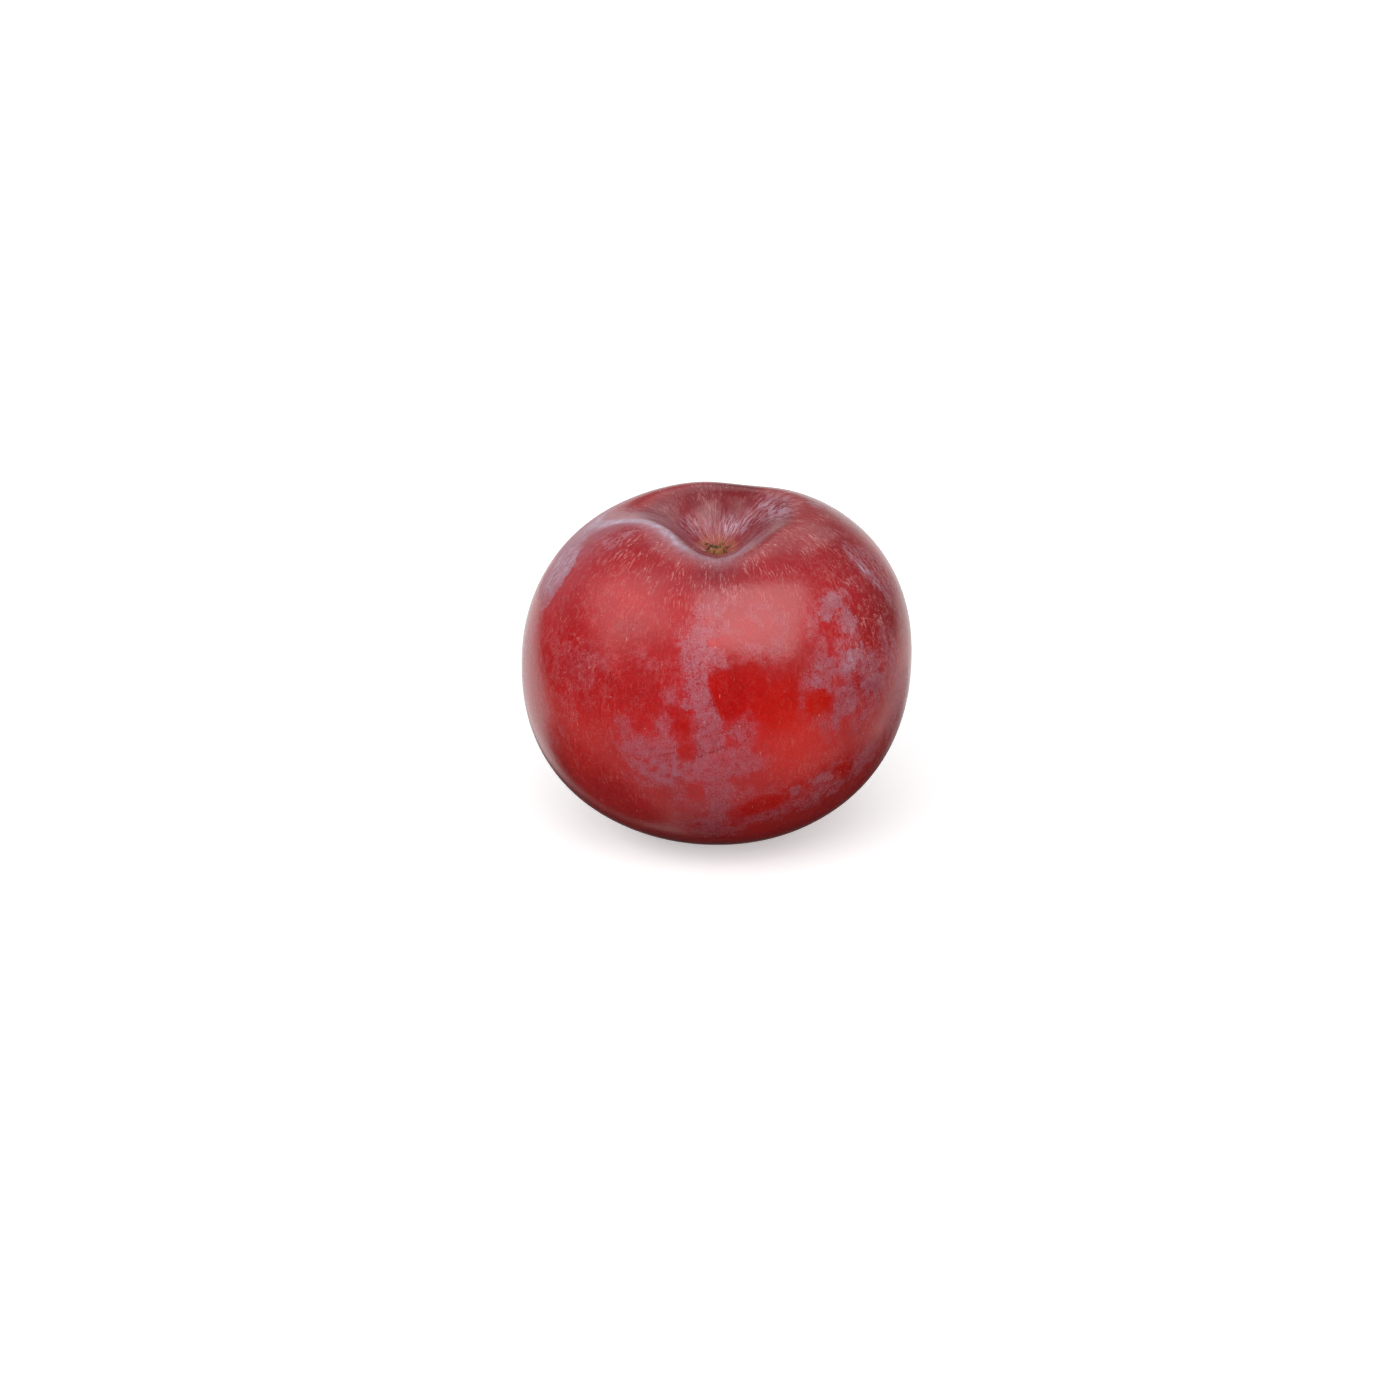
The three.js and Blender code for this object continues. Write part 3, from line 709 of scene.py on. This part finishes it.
def patchFilm(v, add, own, lines):
    # The patches of bloom: their reach field with a lobed, gritty edge, sharp here and soft
    # there. Inside lie clouds of 1.3 mm and less, pinholes of 0.2 mm and the thin dark lines, and
    # round them a blotchy halo of thin film. Returns where a patch is, and its film.
    inside = own["bloomReach"]
    for name, amount in v["edge"].items():
        inside = add("Math", [own[name], amount, inside], "MULTIPLY_ADD")
    inside = add("Math", [inside, v["edgeMiddle"]], "SUBTRACT")
    inward = add("Math", [own["blur"], -1], "MULTIPLY")
    patch = add("MapRange", [inside, inward, own["blur"]], interpolation_type="SMOOTHSTEP")
    halo = add("Math", [add("MapRange", [inside, *v["halo"]]), own["bloomThin"]], "MAXIMUM")
    blotch = add("Math", [own["slow"], v["blotchSlow"], own["cloud"]], "MULTIPLY_ADD")
    halo = add("Math", [halo, add("MapRange", [blotch, *v["mottled"]])], "MULTIPLY")
    whole = add("Math", [1, lines], "SUBTRACT")
    film = strongest(add, [(patch, own["dense"], own["bloomFilm"], own["pored"], whole), (halo,)])
    return patch, add("Math", [film, own["speckled"]], "MULTIPLY")


def darkLines(v, add, own, lines, patch, film):
    # The wax's lines again over the film, a broken hairline down the suture, and thin threads in
    # the film down the cavity's wall and the crown.
    right = add("SeparateXYZ", [own["inMm"]]).outputs["X"]
    seam = fineLine(add, right, own["bent"], *v["seamLine"])
    thread = fineLine(add, own["crownStroke"], v["threadLevel"], -1, *v["threadLine"])
    return strongest(add, [(lines, patch, v["lineShare"]), (seam, own["dashed"], own["seam"]),
                           (thread, own["combed"], film)])


def paleMarks(v, add, own):
    # Dust in short strokes that gather in clumps, flecks along the meridians, round lenticels of
    # 0.4 and 0.2 mm, and curved scuffs.
    layers = [(own["dusty"], own["dust"], own["clumped"])]
    for way, scale, near, far, rarity in v["marks"]:
        cells = add("TexVoronoi", {"Vector": own[way], "Scale": scale})
        chance = add("SeparateColor", [cells.outputs["Color"]]).outputs["Red"]
        chance = add("Math", [own["crown"], v["crownMarks"], chance], "MULTIPLY_ADD")
        layers.append((add("MapRange", [cells.outputs["Distance"], near, far, 1, 0]),
                       add("MapRange", [chance, rarity, 1, 0, v["markShare"]])))
    for noise, level, pattern in v["scuffs"]:
        scale = v["noise"][noise][1]
        near, far = v["scuffNear"] * scale, v["scuffFar"] * scale
        shown = [own[pattern], level, level + v["scuffOnset"], 0, v["scuffShare"]]
        layers.append((fineLine(add, own[noise], level, -1, near, far, 1), add("MapRange", shown),
                       own["scuffed"]))
    return strongest(add, layers)


def makeWaxySkin(v):
    material, add = emptied(bpy.data.materials.new("waxyPlumSkin"))
    own = skinPatterns(v, add)
    colour = {name: linearColour(v[name]) for name in (
        "deepRed", "brightRed", "duskRed", "blushRed", "thinBloom", "thickBloom", "paleMark",
        "darkLine", "corkRed", "corkPale")}
    lines = waxLines(v, add, own)
    patch, film = patchFilm(v, add, own, lines)

    # the haze, drawn in strokes, and the thicker streaks in the cavity and where it was brushed
    hazy = strongest(add, [(own["bloomHaze"], own["stroked"]), (own["streaks"], own["streaked"])])
    film = add("Math", [film, hazy], "MAXIMUM", use_clamp=True)
    wax = add("Mix", [hazy], data_type="RGBA", A=colour["thinBloom"], B=colour["thickBloom"])

    # cork round the scar: orange threads on red-brown, fraying outwards
    frayed = add("Math", [own["stroke"], v["frayedStroke"], own["cork"]], "MULTIPLY_ADD")
    frayed = add("MapRange", [frayed, *v["frayed"]])
    cork = add("Mix", [own["corkThreads"]], data_type="RGBA", A=colour["corkRed"],
               B=colour["corkPale"])

    # Colour, from the ground up. The ground drifts in ripeness over 9 mm, with a 0.6 mm mottle of
    # flesh under the skin.
    ripe = add("Math", [own["mottle"], v["ripeMottle"], own["drift"]], "MULTIPLY_ADD")
    stops = zip(v["ripeness"], (colour["deepRed"], colour["brightRed"]))
    shade = add("ValToRGB", [ripe], stops=list(stops))
    dark = darkLines(v, add, own, lines, patch, film)
    # Over the ground go a painted highlight low on the cheeks, then painted shade in the cavity, on its
    # far wall, in the crown's dip and below the notch, then pits, cork, wax, dark lines and pale marks.
    for share, laid in ((own["blush"], colour["blushRed"]), (own["dusk"], colour["duskRed"]),
                        (own["pitted"], colour["darkLine"]), (frayed, cork), (film, wax),
                        (dark, colour["darkLine"]), (paleMarks(v, add, own), colour["paleMark"])):
        shade = add("Mix", [share], data_type="RGBA", A=shade, B=laid)

    dull = add("Math", [film, frayed], "MAXIMUM")
    matt = add("MapRange", [dull, 0, 1, *v["roughness"]])
    bump = add("Math", [film, v["bloomBump"]], "MULTIPLY")
    bump = add("Math", [own["mottle"], v["skinBump"], bump], "MULTIPLY_ADD")
    relief = add("Bump", {"Strength": 1, "Distance": mm, "Height": bump})
    shader = add("BsdfPrincipled", {
        "Base Color": shade, "Roughness": matt, "Normal": relief, "IOR": v["ior"]})
    add("OutputMaterial", {"Surface": shader})
    return material


skinPiece.data.materials.append(makeWaxySkin(waxySkin))
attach(skinPiece, "root")
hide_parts("plum")
print("skin finish done")


# The scar of the stalk: a torn hollow stub with frayed threads round its foot.
stemScar = {
    "columns": 168, "rows": 48,
    "foot": 1.5, "neck": 1.22, "hollow": 0.62, "height": 0.95, "hollowDepth": 0.75, "root": 0.9,
    # the torn rim's height strays by cosines that go so often round, and the stub is a little oval
    "tear": 0.22, "tearCounts": (3, 5, 8, 13), "tearStart": 2.1, "rimFrom": 0.3, "rimNicks": 0.05,
    "ridges": 21, "ridgeDepth": 0.09, "ridgeMean": 0.6, "ridgeHeights": (-0.6, 0.1), "uneven": 0.1,
    # the hollow is darkened with painted shade
    "hollowShade": 0.9, "hollowShare": (0.12, 0.22),  # how dark, and its share of the profile
    # frayed threads, by seed: how far they reach and turn, and how high they start
    "seed": 5, "threads": 17, "threadFrom": 1.15, "threadTo": (2.1, 3.6), "threadTurn": 0.35,
    "threadLift": (0.45, 0.8), "threadWave": 0.04, "threadWaves": 9, "threadWidth": 0.11,
    "threadRoot": (-0.3, 0.08),
    "threadSteps": 12, "threadSides": 7, "floorRadius": 6, "floorDepth": 2,
    # the burnt brown is both the dark between the fibres and the painted shade in the hollow
    "ochre": "ad7440", "olive": "6c4425", "burntAndShade": "31180c", "roughness": 0.75,
    "colourStops": (0.74, 0.87, 1), "blotch": 0.8, "fibreRelief": 0.12,
    # noise per metre along x, y and z, then (scale, detail, roughness) and (scale, detail)
    "fibreScale": (1000, 1000, 350), "fibreNoise": (3.2, 4, 0.7), "blotchNoise": (0.9, 2),
}


def scarGrid(v, floor):
    # A profile from the hollow's middle over the rim and down to the root, turned round the
    # axis. Shares of the sizes round off its corners. The rim's height strays by a sum of
    # cosines, and ridges run up the outside.
    top, bottom = v["height"], v["height"] - v["hollowDepth"]
    profile = np.array([
        (0, bottom), (v["hollow"] * 0.7, bottom), (v["hollow"], top * 0.75),
        (v["hollow"] * 1.25, top), (v["neck"] * 0.88, top), (v["neck"], top * 0.8),
        (v["foot"] * 0.93, 0.25), (v["foot"], 0), (v["foot"], -v["root"] * 0.9), (0, -v["root"])])
    length = np.concatenate([[0], np.cumsum(np.linalg.norm(np.diff(profile, axis=0), axis=1))])
    along = np.linspace(0, length[-1], v["rows"])
    out, up = (np.interp(along, length, profile[:, i])[:, None] for i in (0, 1))
    turn = 2 * np.pi * np.arange(v["columns"])[None, :] / v["columns"]
    ragged = sum(np.cos(n * turn + v["tearStart"] * n * n) / n ** 0.5 for n in v["tearCounts"]) / 2
    ridge = np.abs(np.sin(v["ridges"] * turn / 2 + 2 * np.sin(3 * turn) + 0.8 * up))
    rim = smoothStep(up, v["rimFrom"], top)
    shape = 1 + v["uneven"] * (np.cos(2 * turn + 0.7) + 0.5 * np.cos(3 * turn + 2))
    wall = smoothStep(out, v["hollow"] * 0.5, v["hollow"]) * smoothStep(up, *v["ridgeHeights"])
    out = out * shape + v["ridgeDepth"] * (ridge - v["ridgeMean"]) * wall
    up = up + v["tear"] * ragged * rim + v["rimNicks"] * np.cos(v["ridges"] * turn) * rim
    return np.stack([out * np.sin(turn), -out * np.cos(turn), floor + up], axis=-1)


def threadGrids(v, floor, skin):
    # Tapered tubes. Each path runs out from the stub's side and down onto the cavity's floor,
    # whose height is that of the nearest skin point, and the tube's ends close to one point.
    rng = np.random.default_rng(v["seed"])
    count, sides, most = v["threads"], v["threadSides"], v["threadTurn"]
    start = 2 * np.pi * (np.arange(count) + rng.uniform(-most, most, count)) / count
    reach = rng.uniform(*v["threadTo"], count)
    t = np.linspace(0, 1, v["threadSteps"])[None, :]
    turn = start[:, None] + rng.uniform(-most, most, count)[:, None] * t
    out = v["threadFrom"] + (reach[:, None] - v["threadFrom"]) * t
    x, y = out * np.sin(turn), -out * np.cos(turn)
    near = skin[np.hypot(skin[:, 0], skin[:, 1]) < v["floorRadius"]]
    gap = (near[:, 0] - x[..., None]) ** 2 + (near[:, 1] - y[..., None]) ** 2
    gap = gap + np.where(near[:, 2] > floor - v["floorDepth"], 0, ruledOut)
    rest = near[np.argmin(gap, axis=-1), 2]
    lift = rng.uniform(*v["threadLift"], count)[:, None] * (1 - t) ** 2
    height = rest + lift + v["threadWave"] * np.sin(v["threadWaves"] * t + start[:, None])
    path = np.stack([x, y, height], axis=-1)
    ahead = np.gradient(path, axis=1)
    ahead /= np.linalg.norm(ahead, axis=-1, keepdims=True)
    aside = np.cross(ahead, [0, 0, 1])
    aside /= np.linalg.norm(aside, axis=-1, keepdims=True)
    above = np.cross(aside, ahead)
    girth = v["threadWidth"] * np.sqrt(np.clip(1 - t, 0, 1)) * smoothStep(t, *v["threadRoot"])
    turn = 2 * np.pi * np.arange(sides)[:, None] / sides
    ringWay = aside[:, :, None] * np.cos(turn) + above[:, :, None] * np.sin(turn)
    return path[:, :, None] + girth[:, :, None, None] * ringWay


def makeDryCork(v):
    # Torn, dried cork and fibre: matt and ragged, ochre where it stands proud and burnt brown between
    # the fibres, which are drawn out along the stalk. The hollow gets painted shade in the same burnt
    # brown.
    material, add = emptied(bpy.data.materials.new("dryTornCork"))
    run = add("Mapping", {"Vector": add("TexCoord").outputs["Object"], "Scale": v["fibreScale"]})
    scale, detail, roughness = v["fibreNoise"]
    fibre = add("TexNoise", Vector=run, Scale=scale, Detail=detail, Roughness=roughness)
    scale, detail = v["blotchNoise"]
    blotch = add("TexNoise", Vector=run, Scale=scale, Detail=detail)
    blotch = add("Math", [blotch, v["blotch"], fibre], "MULTIPLY_ADD")
    shades = [linearColour(v[name]) for name in ("burntAndShade", "olive", "ochre")]
    colour = add("ValToRGB", [blotch], stops=list(zip(v["colourStops"], shades)))
    # painted shade: the stub's hollow turns burnt brown
    hollow = add("Attribute", attribute_name="hollow").outputs["Fac"]
    colour = add("Mix", [hollow], data_type="RGBA", A=colour, B=shades[0])
    relief = add("Bump", Strength=1, Distance=v["fibreRelief"] * mm, Height=fibre)
    shader = add("BsdfPrincipled", {
        "Base Color": colour, "Normal": relief, "Roughness": v["roughness"]})
    add("OutputMaterial", Surface=shader)
    return material


cavityFloor = plumPoints[0, 0, 2]
scarPiece = closedSkin("stem_scar", scarGrid(stemScar, cavityFloor)[None])
fromMiddle = np.linspace(0, 1, stemScar["rows"])[:, None] * np.ones(stemScar["columns"])
# painted shade in the stub's hollow, strongest at its middle
hollowPaintedShade = 1 - smoothStep(fromMiddle, *stemScar["hollowShare"])
addAttribute(scarPiece, "hollow", stemScar["hollowShade"] * hollowPaintedShade)
threads = threadGrids(stemScar, cavityFloor, plumPoints.reshape(-1, 3))
threadPiece = closedSkin("stem_scar_threads", threads)
dryCork = makeDryCork(stemScar)
for piece in (scarPiece, threadPiece):
    piece.data.materials.append(dryCork)
    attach(piece, "root")
print("stem scar done:", stemScar["threads"], "threads")


# The stage.
studio = {
    "cameraFrom": (0, -597.5, 258.3), "cameraAt": (-2.67, -2.32, 22.87), "lens": 100.29,
    "sensor": 36, "lightsAt": (0, 0, 29),
    # each light: what it shows in, bearing, elevation, roll, distance, width, height, brightness
    # and colour. The softboxes only shine back from the skin, and the washes only light it.
    "lights": [
        ("gloss", 29, 48, -20, 800, 860, 800, 3.2, "ffffff"),
        ("gloss", -73, 41, -35, 800, 900, 800, 0.7, "ffffff"),
        ("gloss", -73, 41, -35, 820, 620, 540, 0.9, "ffffff"),
        ("wash", 20, 32, 0, 900, 900, 800, 2.3, "ffffff"),
        ("wash", -50, 28, 0, 900, 900, 800, 2.3, "ffffff"),
        ("wash", 0, 75, 0, 900, 900, 900, 1.15, "ffffff"),
        ("wash", 50, 4, 0, 700, 600, 400, 0.9, "ffd8d0"),
        ("wash", 150, 8, 0, 900, 900, 700, 1.5, "ffffff"),
        ("wash", -140, 8, 0, 900, 900, 700, 1.5, "ffffff"),
        ("gloss", 165, 50, 15, 800, 640, 520, 0.9, "ffffff"),
    ],
    "floorHalf": 3000, "floorSeen": "f6f6f6", "floorBounce": "7a7a7a", "floorRoughness": 0.9,
    "glow": (0.4, 1), "glowFrom": 90, "glowTo": 700,
    # The air, by the way that a ray goes, mostly as (from, to, share at from, share at to). The
    # backdrop is brightest straight behind and a little below. It leans to one side, and fades
    # upwards and downwards.
    "backdrop": (0.72, 1, 0, 1.2), "backdropDrop": -1.3, "backdropLean": -0.2,
    "backdropFades": [(0.08, 0.32, 1, 0.2), (-0.5, -0.7, 1, 0)],
    "table": (-0.3, -0.5, 0, 0.5), "tableBack": (0.85, 0.65), "overhead": (0.75, 0.98, 0.03, 0.15),
    # dark things low beside the fruit, and its own shade behind it: the way to each, and the
    # cosine of its reach
    "neighbours": [((0.372, 0.214, -0.903), 0.863), ((-0.589, 0.257, -0.766), 0.915),
                   ((0, 0.75, -0.66), 0.937), ((0.45, 0.66, -0.6), 0.965)],
    "neighbourEdge": 0.015, "neighbourShare": 0.1,
}


def pointAt(thing, place, target):  # a camera and a light both look down their own -Z
    place, target = Vector(place) * mm, Vector(target) * mm
    thing.location = place
    thing.rotation_euler = (target - place).to_track_quat("-Z", "Y").to_euler()


def addLight(v, shows, bearing, elevation, roll, distance, width, height, brightness, tint):
    # a rectangle of light that faces the fruit's girth, of one brightness whatever its size
    turn, rise = np.radians(bearing), np.radians(elevation)
    heading = Vector((np.sin(turn) * np.cos(rise), -np.cos(turn) * np.cos(rise), np.sin(rise)))
    light = bpy.data.lights.new(shows, "AREA")
    light.shape = "RECTANGLE"
    light.size, light.size_y = width * mm, height * mm
    light.energy = brightness * np.pi * width * height * mm * mm
    light.color = linearColour(tint)[:3]
    box = bpy.data.objects.new(shows, light)
    bpy.context.scene.collection.objects.link(box)
    box.visible_camera = False
    box.visible_diffuse = shows == "wash"
    box.visible_glossy = shows == "gloss"
    pointAt(box, Vector(v["lightsAt"]) + heading * distance, v["lightsAt"])
    box.rotation_euler.rotate_axis("Z", np.radians(roll))


def addFloor(v):
    # white paper that glows softly for the camera alone, less so near the fruit
    half = v["floorHalf"] * mm
    corners = [(-half, -half, 0), (half, -half, 0), (half, half, 0), (-half, half, 0)]
    mesh = bpy.data.meshes.new("studio_floor")
    mesh.from_pydata(corners, [], [(0, 1, 2, 3)])
    piece = bpy.data.objects.new("studio_floor", mesh)
    bpy.context.scene.collection.objects.link(piece)
    piece.visible_glossy = False
    material, add = emptied(bpy.data.materials.new("whiteStudioPaper"))
    away = add("VectorMath", [add("TexCoord").outputs["Object"]], "LENGTH").outputs["Value"]
    near, far = v["glowFrom"] * mm, v["glowTo"] * mm
    glow = add("MapRange", [away, near, far, *v["glow"]], interpolation_type="SMOOTHSTEP")
    seen = add("LightPath").outputs["Is Camera Ray"]
    glow = add("Math", [glow, seen], "MULTIPLY")
    shades = (linearColour(v[name]) for name in ("floorBounce", "floorSeen"))
    colour = add("Mix", {"Factor": seen, **dict(zip("AB", shades))}, data_type="RGBA")
    paper = add("BsdfPrincipled", {
        "Base Color": colour, "Roughness": v["floorRoughness"],
        "Emission Color": (1, 1, 1, 1), "Emission Strength": glow})
    add("OutputMaterial", Surface=paper)
    mesh.materials.append(material)
    return piece


def makeAir(v):
    # A pale sweep of paper behind the fruit and down beside it, a dim ceiling and a dark room.
    # Only the skin's gloss picks up the table's glow. The camera itself sees plain white.
    world, add = emptied(bpy.data.worlds.new("studioAir"))
    heading = add("TexCoord").outputs["Generated"]
    across, back, up = add("SeparateXYZ", [heading]).outputs
    rays = add("LightPath").outputs
    soft = {"interpolation_type": "SMOOTHSTEP"}
    air = add("Math", [add("Math", [up, 0], "MINIMUM"), v["backdropDrop"], back], "MULTIPLY_ADD")
    air = add("MapRange", [air, *v["backdrop"]], **soft)
    lean = add("Math", [across, v["backdropLean"], 1], "MULTIPLY_ADD")
    shares = [lean] + [add("MapRange", [up, *fade]) for fade in v["backdropFades"]]
    for share in shares:
        air = add("Math", [air, share], "MULTIPLY")
    table = add("MapRange", [up, *v["table"]], **soft)
    for share in (add("MapRange", [back, *v["tableBack"]]), rays["Is Glossy Ray"]):
        table = add("Math", [table, share], "MULTIPLY")
    air = add("Math", [air, table], "MAXIMUM")
    edge = v["neighbourEdge"]
    for toward, reach in v["neighbours"]:
        near = add("VectorMath", [heading, toward], "DOT_PRODUCT").outputs["Value"]
        clear = add("MapRange", [near, reach + edge, reach - edge, v["neighbourShare"]])
        air = add("Math", [air, clear], "MULTIPLY")
    air = add("Math", [air, add("MapRange", [up, *v["overhead"]], **soft)], "MAXIMUM")
    strength = add("Mix", [rays["Is Camera Ray"]], A=air, B=1)
    add("OutputWorld", Surface=add("Background", Strength=strength))
    return world


cameraData = bpy.data.cameras.new("studioCamera")
cameraData.lens = studio["lens"]
cameraData.sensor_width = studio["sensor"]
cameraData.clip_start, cameraData.clip_end = 0.01, 20.0
camera = bpy.data.objects.new("studioCamera", cameraData)
bpy.context.scene.collection.objects.link(camera)
pointAt(camera, studio["cameraFrom"], studio["cameraAt"])
bpy.context.scene.camera = camera
bpy.context.scene.view_settings.view_transform = "Standard"
for light in studio["lights"]:
    addLight(studio, *light)
floor = addFloor(studio)
bpy.context.scene.world = makeAir(studio)
print("stage done")
